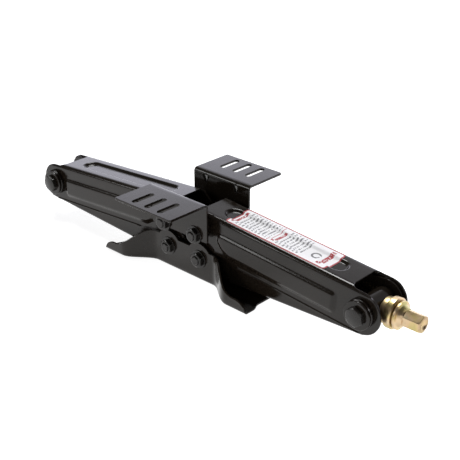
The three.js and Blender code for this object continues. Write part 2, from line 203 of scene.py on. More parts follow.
class Flare(Pressing):
    """A straight strip along an edge that leans out evenly towards it."""

    def __init__(self, first, last, width, height):
        super().__init__([first, last], width, width, height)

    def rise(self, points):
        away = distance_to(points, self.core, closed=False)
        return self.height * np.clip(1 - away / self.radius, 0, 1)


# ---- Meshes --------------------------------------------------------------------------------

SHARP_DEGREES = 32


def make_piece(name, points, faces, material, body, replaces=(), sharp=SHARP_DEGREES):
    """A mesh object from points in millimetres, riding one of the frame's bodies."""
    mesh = bpy.data.meshes.new(name)
    mesh.from_pydata((np.asarray(points, float) * MM).tolist(), [], [list(map(int, f)) for f in faces])
    work = bmesh.new()
    work.from_mesh(mesh)
    bmesh.ops.remove_doubles(work, verts=work.verts, dist=1e-7)
    bmesh.ops.recalc_face_normals(work, faces=work.faces)
    work.to_mesh(mesh)
    work.free()
    mesh.shade_smooth()
    mesh.set_sharp_from_angle(angle=math.radians(sharp))
    mesh.materials.append(material)
    piece = bpy.data.objects.new(name, mesh)
    bpy.context.scene.collection.objects.link(piece)
    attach(piece, body)
    if replaces:
        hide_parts(*replaces)
    return piece


def boundary_loops(faces):
    """The open edges of a face list, followed round into closed loops."""
    directed = {(f[i - 1], f[i]) for f in faces for i in range(len(f))}
    following = {a: b for a, b in directed if (b, a) not in directed}
    loops = []
    while following:
        start, step = next(iter(following.items()))
        loop = [start]
        del following[start]
        while step != start:
            loop.append(step)
            step = following.pop(step)
        loops.append(loop)
    return loops


def thickened(surface, normals, faces, thickness, edge):
    """Gives a surface a thickness behind it, with an eased edge all round."""
    count = len(surface)
    points = [surface, surface - normals * thickness]
    out = [list(f) for f in faces] + [[i + count for i in reversed(f)] for f in faces]
    total = 2 * count
    for loop in boundary_loops(faces):
        here = surface[loop]
        tangent = np.roll(here, -1, 0) - np.roll(here, 1, 0)
        outward = np.cross(tangent, normals[loop])
        outward /= np.maximum(np.linalg.norm(outward, axis=1), 1e-9)[:, None]
        rows = [here + outward * edge - normals[loop] * depth for depth in (edge, thickness - edge)]
        points += rows
        size = len(loop)
        for k in range(size):
            m = (k + 1) % size
            ring = [loop[k], total + k, total + size + k, loop[k] + count]
            ring_next = [loop[m], total + m, total + size + m, loop[m] + count]
            for j in range(3):
                out.append([ring[j], ring[j + 1], ring_next[j + 1], ring_next[j]])
        total += 2 * size
    return np.concatenate(points), out


SHEET_EDGE = 0.45
PRESSING_SHARES = (-0.2, 0, 0.25, 0.5, 0.75, 1, 1.2)


def flat_mesh(outline, holes, rows, columns, pressings):
    """Triangles that fill a flat outline, with lines of points along its edges and pressings."""
    rims = [subdivided(anticlockwise(outline), 2.5)]
    rims += [subdivided(anticlockwise(hole)[::-1], 2.5) for hole in holes]
    rims = [offset_loop(rim, SHEET_EDGE) for rim in rims]
    points, edges = [], []

    def add_loop(loop):
        first = sum(len(p) for p in points)
        points.append(loop)
        edges.extend((first + k, first + (k + 1) % len(loop)) for k in range(len(loop)))

    for rim in rims:
        add_loop(rim)
    kept = [offset_loop(rim, 1.3) for rim in rims]
    lines = [p.loop(share) for p in pressings for share in PRESSING_SHARES]
    for line in lines:
        add_loop(line)
    grid = np.array([[x, y] for x in columns for y in rows])
    candidates = np.concatenate([*kept, grid])
    ok = inside(candidates, rims[0])
    for hole in rims[1:]:
        ok &= ~inside(candidates, hole)
    for rim in rims:
        ok &= distance_to(candidates, rim) > 0.8
    for line in lines:
        near = distance_to(candidates[ok], line) < 1.2
        ok[np.flatnonzero(ok)[near]] = False
    points.append(candidates[ok])
    flat = np.concatenate(points)
    made = delaunay_2d_cdt([Vector(p) for p in flat], edges, [], 0, 1e-5)
    flat = np.array([list(p) for p in made[0]])
    faces = np.array(made[2])
    middle = flat[faces].mean(1)
    keep = inside(middle, rims[0])
    for hole in rims[1:]:
        keep &= ~inside(middle, hole)
    return flat, faces[keep].tolist()


def folded(flat, fold):
    """A flat mesh laid on a folded surface, with the surface's true normals."""
    step = 0.02
    here, facing = fold(flat)
    run = fold(flat + [step, 0])[0] - fold(flat - [step, 0])[0]
    rise = fold(flat + [0, step])[0] - fold(flat - [0, step])[0]
    normals = np.cross(run, rise)
    normals /= np.linalg.norm(normals, axis=1)[:, None]
    normals *= np.sign((normals * facing).sum(1))[:, None]
    return here, normals


def facing_out(surface, normals, faces):
    """The faces, turned if need be so that they face along the normals."""
    a, b, c = (surface[[f[k] for f in faces]] for k in range(3))
    along = (np.cross(b - a, c - a) * normals[[f[0] for f in faces]]).sum()
    return faces if along > 0 else [f[::-1] for f in faces]


def grid_faces(rows, count):
    """Squares between the neighbours of a grid of points, listed row by row."""
    return [[i * count + j, i * count + j + 1, (i + 1) * count + j + 1, (i + 1) * count + j]
            for i in range(rows - 1) for j in range(count - 1)]


def pressed_sheet(name, outline, holes, rows, columns, pressings, fold, thickness, material, body,
                  replaces):
    """A sheet part: its flat pattern meshed, pressed, folded and given its thickness."""
    flat, faces = flat_mesh(outline, holes, rows, columns, pressings)
    surface, normals = folded(flat, fold)
    faces = facing_out(surface, normals, faces)
    points, faces = thickened(surface, normals, faces, thickness, SHEET_EDGE)
    return make_piece(name, points, faces, material, body, replaces)


def on_axis(axis, along, across):
    """Points at a distance along the X or Y axis, and at (first, up) across it."""
    along, first, up = np.broadcast_arrays(along, across[..., 0], across[..., 1])
    return np.stack([along, first, up] if axis == "X" else [first, along, up], -1)


def turned(name, profile, axis, middle, material, body, replaces=(), segments=64, flats=None, turn=0.0):
    """A profile of (radius, distance) points swept round an axis, cut to a hexagon if flats are given."""
    profile = np.asarray(profile, float)
    angles = np.arange(segments) * 2 * math.pi / segments
    radius = np.repeat(profile[:, 0][:, None], segments, 1)
    if flats is not None:
        face = flats / 2 / np.cos((angles - turn + math.pi / 6) % (math.pi / 3) - math.pi / 6)
        radius = np.minimum(radius, face)
    across = np.stack([radius * np.cos(angles), radius * np.sin(angles)], -1) + np.asarray(middle)
    points = on_axis(axis, profile[:, 1][:, None], across).reshape(-1, 3)
    count = len(profile)
    faces = []
    for i in range(count):
        j = (i + 1) % count
        if max(profile[i][0], profile[j][0]) < 1e-6:
            continue
        for k in range(segments):
            m = (k + 1) % segments
            faces.append([i * segments + k, i * segments + m, j * segments + m, j * segments + k])
    return make_piece(name, points, faces, material, body, replaces)


def hex_profile(flats, start, end, bore=0.0):
    """A hexagon's profile: full to the corners, with a chamfer of 30 degrees at its end."""
    corner = flats / math.sqrt(3)
    face = flats / 2 * 0.94
    away = 1 if end > start else -1
    drop = (corner - face) * math.tan(math.radians(30))
    steps = [corner - (corner - face) * k / 7 for k in range(8)]
    chamfer = [(r, end - away * drop * (r - face) / (corner - face)) for r in steps]
    if bore:
        return [(bore + 0.5, start), (corner, start), *chamfer, (bore + 0.5, end), (bore, end - away * 0.5),
                (bore, start + away * 0.5)]
    return [(0, start), (corner, start), *chamfer, (0, end)]


# ---- Materials -----------------------------------------------------------------------------

class Nodes:
    """A node tree, built with short calls."""

    def __init__(self, tree, coordinates):
        self.tree = tree
        self.place = tree.nodes.new("ShaderNodeTexCoord").outputs[coordinates]

    def put(self, socket, source):
        """Links a node's output to a socket, or sets the socket to a value."""
        if hasattr(source, "is_output"):
            self.tree.links.new(source, socket)
        elif source is not None:
            socket.default_value = source

    def node(self, kind, out=0, inputs=(), **settings):
        """A new node with its inputs and settings; returns one of its outputs."""
        node = self.tree.nodes.new("ShaderNode" + kind)
        for key, value in settings.items():
            setattr(node, key, value)
        for key, source in dict(inputs).items():
            self.put(node.inputs[key], source)
        return node.outputs[out]

    def math(self, operation, a, b=None, c=None):
        return self.node("Math", 0, {0: a, 1: b, 2: c}, operation=operation)

    def noise(self, scale, detail=3.0, roughness=0.55, place=None):
        inputs = {"Vector": place or self.place, "Scale": scale, "Detail": detail, "Roughness": roughness}
        return self.node("TexNoise", "Fac", inputs)

    def ramp(self, source, *stops, interpolation="LINEAR"):
        """Colours or greys at positions from 0 to 1."""
        node = self.tree.nodes.new("ShaderNodeValToRGB")
        self.put(node.inputs["Fac"], source)
        node.color_ramp.interpolation = interpolation
        elements = node.color_ramp.elements
        while len(elements) < len(stops):
            elements.new(0.5)
        for element, (position, colour) in zip(elements, stops):
            element.position = position
            element.color = (*([colour] * 3 if np.isscalar(colour) else colour), 1)
        return node.outputs["Color"]

    def mix(self, share, a, b):
        node = self.tree.nodes.new("ShaderNodeMix")
        node.data_type = "RGBA"
        self.put(node.inputs["Factor"], share)
        for socket, source in ((node.inputs[6], a), (node.inputs[7], b)):
            self.put(socket, source if hasattr(source, "is_output") else (*source, 1))
        return node.outputs[2]


class Surface(Nodes):
    """A material on the Principled shader."""

    def __init__(self, name, **constants):
        self.material = bpy.data.materials.new(name)
        self.material.use_nodes = True
        self.material["slot"] = name
        super().__init__(self.material.node_tree, "Object")
        self.shader = self.tree.nodes["Principled BSDF"]
        for socket, value in constants.items():
            self.shader.inputs[socket.replace("_", " ")].default_value = value

    def stretched(self, scale):
        """The place on the object, scaled by axis."""
        return self.node("Mapping", 0, {"Vector": self.place, "Scale": scale})

    def bump(self, height, strength, distance, under=None):
        inputs = {"Height": height, "Strength": strength, "Distance": distance, "Normal": under}
        return self.node("Bump", 0, inputs)

    def finish(self, colour, roughness, normal=None):
        for socket, source in (("Base Color", colour), ("Roughness", roughness), ("Normal", normal)):
            if source is not None:
                self.put(self.shader.inputs[socket], source)
        return self.material


def edge_wear_and_highlight(surface):
    """White where the mesh is strongly convex, so along its edges: the mask for edge wear and for a painted
    edge highlight.
    """
    return surface.ramp(surface.node("NewGeometry", "Pointiness"), (0.57, 0.0), (0.68, 1.0))


def black_paint():
    """Gloss black paint on steel: orange peel, faint dust, fine scuffs, and a lighter grey along the edges
    that is partly thin paint and partly a painted highlight.
    """
    surface = Surface("black_paint", Metallic=0.0, IOR=1.34)
    cloud = surface.ramp(
        surface.noise(14, 4), (0.35, (0.0080, 0.0058, 0.0040)), (0.7, (0.0125, 0.0094, 0.0068)))
    dust = surface.ramp(surface.noise(160, 6, 0.7), (0.56, 0.0), (0.80, 0.22))
    colour = surface.mix(dust, cloud, (0.040, 0.036, 0.032))
    patchy = surface.ramp(surface.noise(70, 4), (0.42, 0.1), (0.62, 0.55))
    # Lighter grey along convex edges: partly wear, partly a painted highlight.
    wear_and_highlight = surface.math("MULTIPLY", edge_wear_and_highlight(surface), patchy)
    colour = surface.mix(wear_and_highlight, colour, (0.20, 0.195, 0.19))
    roughness = surface.ramp(surface.noise(38, 5, 0.6), (0.3, 0.11), (0.75, 0.21))
    streaks = surface.noise(60, 6, 0.75, surface.stretched((6, 1, 14)))
    scratches = surface.ramp(streaks, (0.62, 0.0), (0.70, 1.0))
    peel = surface.bump(surface.noise(620, 2), 0.14, 0.0003)
    normal = surface.bump(scratches, 0.04, 0.0002, peel)
    return surface.finish(colour, roughness, normal)


def black_steel():
    """Blackened fastener steel, a little rougher than the paint and greyer at the edges, partly from wear
    and partly as a painted highlight.
    """
    surface = Surface("black_steel", Metallic=0.0, IOR=1.37)
    colour = surface.ramp(surface.noise(90, 4), (0.3, (0.007, 0.006, 0.005)), (0.75, (0.017, 0.015, 0.013)))
    patchy = surface.ramp(surface.noise(160, 3), (0.4, 0.1), (0.6, 0.7))
    # Lighter grey along convex edges: partly wear, partly a painted highlight.
    wear_and_highlight = surface.math("MULTIPLY", edge_wear_and_highlight(surface), patchy)
    colour = surface.mix(wear_and_highlight, colour, (0.20, 0.19, 0.18))
    roughness = surface.ramp(surface.noise(210, 4), (0.3, 0.16), (0.75, 0.30))
    return surface.finish(colour, roughness, surface.bump(surface.noise(900, 3), 0.22, 0.0002))


def yellow_zinc():
    """Yellow passivated zinc with turning marks: gold that drifts to pink and green, brown at the tip."""
    surface = Surface("yellow_zinc", Metallic=1.0)
    drift = surface.ramp(
        surface.noise(55, 3, 0.5), (0.28, (0.36, 0.34, 0.14)), (0.45, (0.50, 0.39, 0.18)),
        (0.58, (0.55, 0.40, 0.25)), (0.74, (0.48, 0.43, 0.27)))
    stain = surface.ramp(surface.noise(240, 6, 0.7), (0.58, 0.0), (0.80, 0.5))
    colour = surface.mix(stain, drift, (0.26, 0.20, 0.09))
    tip = cad("hex_drive")[1][0] * MM
    along_screw = surface.node("SeparateXYZ", 0, {0: surface.place})
    tip_face = surface.ramp(along_screw, (tip - 0.0007, 0.0), (tip - 0.0001, 0.85))
    colour = surface.mix(tip_face, colour, (0.13, 0.065, 0.03))
    marks = surface.noise(40, 3, 0.6, surface.stretched((90, 1.5, 1.5)))
    roughness = surface.ramp(surface.noise(120, 4), (0.3, 0.26), (0.75, 0.42))
    normal = surface.bump(marks, 0.18, 0.0002, surface.bump(surface.noise(700, 2), 0.1, 0.0002))
    return surface.finish(colour, roughness, normal)


# ---- Arms ----------------------------------------------------------------------------------

def tooth_half_angle(radius):
    """Half a gear tooth's width at a radius, in degrees, from the involute of the base circle."""
    base = GEAR_R * math.cos(GEAR["pressure"])
    involute = lambda angle: math.tan(angle) - angle
    at_radius = involute(math.acos(base / radius)) if radius > base else 0
    pitch_half = math.pi / 2 / GEAR["teeth"] - GEAR["backlash"] / 2
    return math.degrees(pitch_half + involute(GEAR["pressure"]) - at_radius)


def toothed_arc(first, count):
    """The edge of a run of gear teeth, whose first tooth stands at an angle in degrees."""
    root, tip = GEAR_R - GEAR["dedendum"], GEAR_R + GEAR["addendum"]
    flank = [root, root + 1.6, GEAR_R, (GEAR_R + tip) / 2, tip]
    points = []
    for i in range(count):
        middle = first + i * 360 / GEAR["teeth"]
        points += [polar(radius, middle - tooth_half_angle(radius)) for radius in flank]
        points += [polar(radius, middle + tooth_half_angle(radius)) for radius in flank[::-1]]
    return points


def along(a, b):
    """A place on an arm, by its distance along the line between its pins and square to it."""
    return np.array([a * math.cos(FOLD) + b * math.sin(FOLD), -a * math.sin(FOLD) + b * math.cos(FOLD)])


class Arm:
    """One arm's flat pattern and the way that it folds into a channel. Its web is drawn upwards."""

    def __init__(self, kind, side):
        self.kind, self.side = kind, side
        shape = UPPER if kind == "upper" else LOWER
        self.shape, self.bend = shape, shape["bend"]
        tilt = math.atan2(shape["web_out"] - shape["web_in"], ARM_LENGTH)
        angle = tilt - FOLD
        self.forward = np.array([math.cos(angle), math.sin(angle)])
        self.upward = np.array([-math.sin(angle), math.cos(angle)])
        self.web = shape["web_in"] * math.cos(tilt)
        self.flat = shape["half"] - self.bend
        self.wall_start = self.flat + self.bend * math.pi / 2
        self.web_end = ARM_LENGTH + WEB_END[kind, side]
        self.pressings = self.make_pressings() if kind == "upper" else []

    def web_frame(self, point):
        """A point's distance along the web and its height square to it."""
        return np.array([point @ self.forward, point @ self.upward])

    def reach(self, height):
        """How far out on the flat pattern a height above the pivot lies."""
        drop = self.web - height
        if drop >= self.bend:
            return self.wall_start + drop - self.bend
        return self.flat + self.bend * math.acos(1 - max(drop, 0) / self.bend)

    def on_pattern(self, point, sign=-1):
        """Where a point of a wall lies on the flat pattern."""
        p, q = self.web_frame(np.asarray(point))
        return np.array([p, sign * self.reach(q)])

    def wall_chain(self):
        """One wall's edge on the pattern, from the web's inner end round to its outer end."""
        shape = self.shape
        pitch = 360 / GEAR["teeth"]
        phase = 0 if self.side > 0 else pitch / 2
        spare = 1 if phase else shape["spare"]
        first = 180 - pitch * spare + phase
        radius = shape["end_radius"]
        chain = [along(shape["inner"], shape["web_in"] + 0.01)]
        bare = np.arange(GEAR["start"], first - pitch * 0.6, pitch / 2)
        chain += [polar(GEAR_R - GEAR["dedendum"], angle) for angle in bare]
        chain += toothed_arc(first, 5 if phase else 5 + spare)
        if self.kind == "upper":
            step = -PIVOT_UP - UPPER_WALL_STEP["below"]
            chain += [np.array([UPPER_WALL_STEP["start"], step]), np.array([UPPER_WALL_STEP["end"], step])]
            chain += [along(LIP["start"], -radius)]
        else:
            chain += [along(LOWER_WALL_START, -radius)]
        end = along(ARM_LENGTH, 0)
        start = -90 - math.degrees(FOLD)
        if self.kind == "upper":
            stop = 90 - math.degrees(FOLD)
        else:
            tip = self.web_end * self.forward + self.web * self.upward - end
            stop = math.degrees(math.atan2(tip[1], tip[0]) - math.acos(radius / np.linalg.norm(tip)))
        chain += [end + polar(radius, start + (stop - start) * k / 28) for k in range(29)]
        flat = [self.on_pattern(point) for point in chain]
        web_end = self.web_end
        if self.kind == "upper":
            lug = -self.reach(radius)
            bend = [[web_end + 30, lug], [web_end, lug], [web_end, 0]]
            corner = rounded(bend, [0, UPPER_WEB_CORNER, 0], 8)
        else:
            inner, side = web_end - WEB_END[self.kind, self.side] - NOTCH["depth"], -NOTCH["half"]
            flat += [[web_end, -self.flat], [web_end, side]]
            corner = rounded([[web_end, side], [inner, side], [inner, 0]], [0, NOTCH["corner"], 0])
        return np.array(flat + list(corner[1:-1]), float)

    def outline(self):
        """The whole flat pattern's edge: one wall's edge and its mirror image."""
        chain = self.wall_chain()
        return np.concatenate([chain, chain[::-1] * [1, -1]])

    def holes(self):
        out = []
        for place, radius in ((along(0, 0), PIVOT_HOLE_R), (along(ARM_LENGTH, 0), TRUNNION_HOLE_R)):
            for sign in (-1, 1):
                out.append(self.on_pattern(place, sign) + polar(radius, np.arange(0, 360, 12)))
        return out

    def make_pressings(self):
        """A raised panel and a leaning lip on each wall, and a long recess in the web."""
        start, end, top, bottom = PANEL["start"], PANEL["end"][self.side], PANEL["top"], PANEL["bottom"]
        corner, drop = PANEL["corner"], PANEL["drop"]
        corners = [
            (start, bottom + drop), (start + corner * 0.38, bottom + drop * 0.42), (start + corner, bottom),
            (end, bottom), (end, top), (start, top)]
        made = []
        for sign in (-1, 1):
            panel = anticlockwise(np.array([self.on_pattern(along(*place), sign) for place in corners]))
            core = offset_loop(panel, PANEL["grown"])
            made.append(Pressing(core, PANEL["grown"], PANEL["slope"], PANEL["height"]))
            low = -self.shape["end_radius"]
            edge = [self.on_pattern(along(a, low), sign) for a in (LIP["start"], ARM_LENGTH)]
            made.append(Flare(*edge, LIP["height"], LIP["flare"]))
        half = RECESS["half"]
        core = [(RECESS["start"] + half, 0), (RECESS["end"] - half, 0)]
        made.append(Pressing(core, half, RECESS["slope"], -RECESS["depth"]))
        return made

    def fold(self, flat):
        """The folded place of points on the flat pattern, and the way that the sheet faces there."""
        along_arm, across = flat[:, 0], flat[:, 1]
        sign, out = np.sign(across), np.abs(across)
        angle = np.clip((out - self.flat) / self.bend, 0, math.pi / 2)
        y = np.minimum(out, self.flat) + self.bend * np.sin(angle)
        up = self.web - self.bend * (1 - np.cos(angle)) - np.maximum(0, out - self.wall_start)
        facing = np.stack([sign * np.sin(angle), np.cos(angle)], 1)
        rise = sum((pressing.rise(flat) for pressing in self.pressings), np.zeros(len(flat)))
        y = sign * y + facing[:, 0] * rise
        up = up + facing[:, 1] * rise
        drawn = along_arm[:, None] * self.forward + up[:, None] * self.upward
        level = self.shape["level"]
        x, z = self.side * (GEAR_R + drawn[:, 0]), SCREW_Z + level * (PIVOT_UP + drawn[:, 1])
        turned_up = facing[:, 1][:, None] * self.upward * [self.side, level]
        return np.stack([x, y, z], 1), np.stack([turned_up[:, 0], facing[:, 0], turned_up[:, 1]], 1)

    def rows(self):
        """Lines of points across the pattern, close together round the bends."""
        web = np.linspace(0, self.flat, 8)[:-1]
        bend = self.flat + self.bend * np.linspace(0, math.pi / 2, 7)
        wall = np.arange(self.wall_start + 2, self.wall_start + 70, 3.4)
        half = np.concatenate([web, bend, wall])
        return np.concatenate([-half[:0:-1], half])

    def build(self, material, body):
        name = f"{self.kind}_arm_{'right' if self.side > 0 else 'left'}"
        columns = np.arange(-34, ARM_LENGTH + 36, 3.2)
        return pressed_sheet(
            name + "_pressed", self.outline(), self.holes(), self.rows(), columns, self.pressings,
            self.fold, SHEET, material, body, [name])


# ---- Foot ----------------------------------------------------------------------------------

FOOT = dict(length=139.0, waist=35.5, wing=62.0, waist_end=54.0, wing_start=104.0, bend=6.0, top=47.8,
            low=16.5, rim=2.2, ear=23.2, drop_start=60.0, drop_end=117.0, tip=19.0)
FOOT_END_BOW = dict(depth=5.0, half=44.0, fade=14.0, start=90.0)


def eased(t):
    """A smooth step from 0 to 1."""
    t = np.clip(t, 0, 1)
    return t * t * (3 - 2 * t)


def foot_half_width(x):
    share = eased((np.abs(x) - FOOT["waist_end"]) / (FOOT["wing_start"] - FOOT["waist_end"]))
    return FOOT["waist"] + (FOOT["wing"] - FOOT["waist"]) * share


def foot_wall_height(x):
    """The wall's upper edge: level in the middle, with two round ears, then falling to the wings."""
    far = np.abs(x)
    share = eased((far - FOOT["drop_start"]) / (FOOT["drop_end"] - FOOT["drop_start"]))
    height = FOOT["top"] + (FOOT["low"] - FOOT["top"]) * share
    tip = np.clip((far - FOOT["length"]) / FOOT["tip"] + 1, 0, 1)
    body = FOOT["rim"] + (height - FOOT["rim"]) * np.sqrt(1 - tip ** 2)
    away = np.clip(np.abs(far - GEAR_R) / FOOT["ear"], 0, 1)
    ear = SCREW_Z - PIVOT_UP + FOOT["ear"] * np.sqrt(1 - away ** 2)
    return np.where(away < 1, np.maximum(body, ear), body)


def build_foot(material):
    """One channel: a flat floor whose walls bend up along an S-shaped edge."""
    length, bend = FOOT["length"], FOOT["bend"]
    tip_start = length - FOOT["tip"]
    outer = tip_start + FOOT["tip"] * np.sin(np.linspace(0, math.pi / 2, 13))
    ear_meets = math.sqrt(FOOT["ear"] ** 2 - (FOOT["top"] - SCREW_Z + PIVOT_UP) ** 2)
    under_ears = np.linspace(GEAR_R - ear_meets, GEAR_R + ear_meets, 25)
    valley = np.linspace(0, GEAR_R - ear_meets, 6)[:-1]
    middle = np.arange(GEAR_R + ear_meets + 2.4, tip_start - 1, 2.6)
    half = np.concatenate([valley, under_ears, middle, outer])
    stations = np.concatenate([-half[:0:-1], half])
    width = foot_half_width(stations)
    slope = (foot_half_width(stations + 0.01) - foot_half_width(stations - 0.01)) / 0.02
    norm = np.sqrt(1 + slope ** 2)
    out_x, out_y = -slope / norm, 1 / norm
    height = foot_wall_height(stations)
    arc = np.where(height > bend, bend * math.pi / 2 + height - bend,
                   bend * np.arccos(1 - np.minimum(height, bend) / bend))
    turn = np.minimum(arc, bend * math.pi / 2)
    distances = [turn * k / 7 for k in range(8)] + [turn + (arc - turn) * k / 12 for k in range(1, 13)]
    start = np.stack([stations - bend * out_x, width - bend * out_y], 1)
    columns = [np.stack([start[:, 0], start[:, 1] * k / 13, np.zeros(len(stations))], 1) for k in range(13)]
    for distance in distances:
        angle = np.minimum(distance / bend, math.pi / 2)
        reach = bend * (np.sin(angle) - 1)
        rise = bend * (1 - np.cos(angle)) + np.maximum(0, distance - bend * math.pi / 2)
        columns.append(np.stack([stations + out_x * reach, width + out_y * reach, rise], 1))
    far = np.array(columns)
    near = far[:0:-1] * [1, -1, 1]
    grid = np.concatenate([near, far])
    bow = FOOT_END_BOW
    inward = eased((bow["half"] - np.abs(grid[..., 1])) / bow["fade"])
    outward = eased((np.abs(grid[..., 0]) - bow["start"]) / (length - bow["start"]))
    grid[..., 0] *= 1 - bow["depth"] / length * inward * outward
    rows, count = grid.shape[:2]
    run = np.gradient(grid, axis=1)
    rise = np.gradient(grid, axis=0)
    normals = np.cross(rise, run).reshape(-1, 3)
    normals /= np.maximum(np.linalg.norm(normals, axis=1), 1e-9)[:, None]
    surface = grid.reshape(-1, 3)
    if normals[(rows // 2) * count + count // 2][2] > 0:
        normals = -normals
    faces = facing_out(surface, normals, grid_faces(rows, count))
    points, faces = thickened(surface, normals, faces, SHEET, SHEET_EDGE)
    points[:, 2] -= points[:, 2].min()
    return make_piece("base_foot_pressed", points, faces, material, "foot", ["base_foot"])


# ---- Top brackets --------------------------------------------------------------------------

BRACKET = dict(half=53.4, inner=39.7, top=124.95, bottom=67.7, reach=109.7, plate=3.5, bend=5.5,
               corner=2.5)
SLOT = dict(pitch=24.3, start=66.0, end=103.0, half=4.3)
DENT = dict(x=29.0, across=-0.5, half_width=6.0, half_length=11.5, depth=4.6, rim=1.3, rim_share=0.24,
            short=4.0)


class Dent:
    """A V pressed in below a bend, deepest in the middle, with a raised rim."""

    def __init__(self, x):
        self.middle = np.array([x, DENT["across"]])
        self.half = np.array([DENT["half_width"], DENT["half_length"]])

    def loop(self, share):
        size = 1.24 - 0.96 * share if share < 0.5 else 1.16 - 0.8 * share
        corners = np.array([(1, 0), (0, 1 / DENT["short"]), (-1, 0), (0, -1)]) * self.half * size
        return subdivided(corners + self.middle, 1.2)

    def rise(self, points):
        off = points - self.middle
        off[:, 1] *= np.where(off[:, 1] > 0, DENT["short"], 1.0)
        away = (np.abs(off) / self.half).sum(1)
        rim = DENT["rim"] * np.clip(1 - np.abs(away - 1) / DENT["rim_share"], 0, 1)
        return rim - DENT["depth"] * np.clip(1 - away, 0, 1)


def box_loop(x_low, x_high, y_low, y_high):
    return [(x_low, y_low), (x_high, y_low), (x_high, y_high), (x_low, y_high)]


def build_bracket(end, sign, material):
    """An angle plate: a wall with two dents under its bend, and a flange with three slots."""
    shape, bend = BRACKET, BRACKET["bend"]
    arc = bend * math.pi / 2
    low = shape["bottom"] - (shape["top"] - bend)
    high = arc + shape["reach"] - shape["inner"] - bend
    outline = rounded(box_loop(-shape["half"], shape["half"], low, high), shape["corner"])
    offset = arc - shape["inner"] - bend
    slot_low, slot_high = SLOT["start"] + offset, SLOT["end"] + offset
    holes = []
    for x in (-SLOT["pitch"], 0, SLOT["pitch"]):
        box = box_loop(x - SLOT["half"], x + SLOT["half"], slot_low, slot_high)
        holes.append(rounded(box, SLOT["half"] - 0.05, 8))
    dents = [Dent(x) for x in (-DENT["x"], DENT["x"])]

    def fold(flat):
        angle = np.clip(flat[:, 1] / bend, 0, math.pi / 2)
        y = shape["inner"] + bend * (1 - np.cos(angle)) + np.maximum(0, flat[:, 1] - arc)
        z = shape["top"] - bend + bend * np.sin(angle) + np.minimum(0, flat[:, 1])
        facing = np.stack([np.zeros(len(flat)), -np.cos(angle), np.sin(angle)], 1)
        rise = sum(dent.rise(flat) for dent in dents)
        points = np.stack([flat[:, 0], y, z], 1) + facing * rise[:, None]
        return points * [1, sign, 1], facing * [1, sign, 1]

    rows = np.concatenate([np.arange(low + 2, -2, 5), np.linspace(0, arc, 7), np.arange(arc + 4, high, 5)])
    columns = np.arange(-shape["half"] + 2, shape["half"], 4)
    return pressed_sheet(
        f"top_bracket_{end}_pressed", outline, holes, rows, columns, dents, fold, shape["plate"], material,
        "top_carrier", [f"top_bracket_{end}"])


# ---- Fasteners, trunnions and the screw line ----------------------------------------------

BOLT = dict(radius=6.0, head=6.0, nut_bore=6.3, washer_bore=6.4, pitch=1.75, crest=0.75, crests=7, tip=1.1)
PIN_HEAD = dict(flats=23.0, height=5.8, start=38.5)
PIN_TURN = {"left": 14.0, "right": 8.0}
TRUNNION = dict(radius=16.0, half=21.8, ease=0.8, journal=9.2, bore=9.35)
PIN_BORE = 9.6
END_RINGS = (("washer", ((19.6, 0), (19.6, 0.78), (18.3, 1)), (0, 0.4, 0.8, 0.3, 0.3)),
             ("collar", ((17.6, 0), (19.1, 0.35), (19.1, 1)), (0, 0.3, 0.5, 0.9, 0.3)))
DRIVE = dict(bore=9.4, washer=17.2, cup=20.3, groove=15.9, collar=18.2, flats=20.6, turn=4.0)
SCREW = dict(depth=1.6, pitch=5.08, journal_radius=8.8, journal_length=17.0)


def ring(outer, inner, start, end, ease):
    return rounded(box_loop(inner, outer, start, end), ease, 3)


def build_fasteners(material):
    """The four pivots' bolts, nuts, washers and spacers."""
    for level in ("bottom", "top"):
        body = "foot" if level == "bottom" else "top_carrier"
        for side in SIDES:
            tag = f"{level}_{side}"
            nut_low, nut_high = cad(f"pivot_nut_{tag}")
            bolt_low, bolt_high = cad(f"pivot_bolt_{tag}")
            middle = centre(f"pivot_nut_{tag}")[[0, 2]]
            flats = nut_high[0] - nut_low[0]
            head_start = bolt_high[1] - BOLT["head"]
            nut = hex_profile(flats, nut_high[1], nut_low[1], BOLT["nut_bore"])
            turned(f"nut_{tag}", nut, "Y", middle, material, body, [f"pivot_nut_{tag}"], 72, flats)
            head = hex_profile(flats, head_start, bolt_high[1])
            turned(f"bolt_head_{tag}", head, "Y", middle, material, body, [], 72, flats)
            shank = threaded_tail(head_start + 0.5, bolt_low[1])
            turned(f"bolt_shank_{tag}", shank, "Y", middle, material, body, [f"pivot_bolt_{tag}"], 40)
            for end in ENDS:
                for kind in ("washer", "spacer"):
                    node = f"pivot_{kind}_{tag}_{end}"
                    low, high = cad(node)
                    profile = ring((high[0] - low[0]) / 2, BOLT["washer_bore"], low[1], high[1], 0.35)
                    turned(f"{kind}_{tag}_{end}", profile, "Y", middle, material, body, [node])


def threaded_tail(start, end):
    """A bolt's shank with a chamfered tip and the last few thread crests."""
    away = 1 if end > start else -1
    radius, pitch, tip = BOLT["radius"], BOLT["pitch"], BOLT["tip"]
    profile = [(0, start), (radius, start)]
    first = end - away * (BOLT["crests"] + 1) * pitch
    for k in range(BOLT["crests"]):
        base = first + away * k * pitch
        profile += [(radius, base), (radius - BOLT["crest"], base + away * pitch / 2)]
    return profile + [(radius, end - away * tip), (radius - tip, end), (0, end)]


